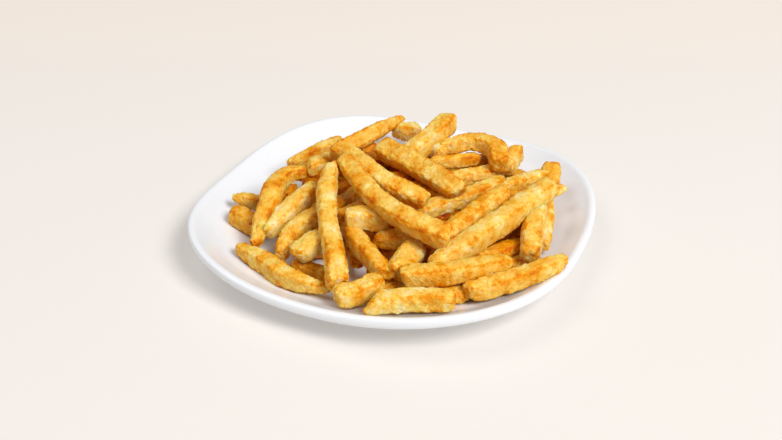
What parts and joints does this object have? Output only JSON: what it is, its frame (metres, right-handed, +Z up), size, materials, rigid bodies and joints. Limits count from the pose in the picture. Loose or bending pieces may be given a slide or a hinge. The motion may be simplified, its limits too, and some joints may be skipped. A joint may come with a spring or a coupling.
{
  "type": "plate of french fries",
  "caption": "Loose heap of square-cut french fries on a white glazed rounded-square coupe plate.",
  "frame": {"origin": "middle of the plate's foot, on the table", "axes": "+Z up, X and Y square to the plate's four sides; the heap is seen best from azimuth 24 degrees"},
  "size_m": [0.23, 0.23, 0.0579],
  "materials": {
    "white_glaze": "smooth white glazed porcelain, high gloss",
    "fried_crust": "golden coated and fried potato, finely blistered, browner on the edges and ends"
  },
  "bodies": {
    "root": {"plate": "white_glaze", "fries_heap": "fried_crust"}
  },
  "joints": []
}
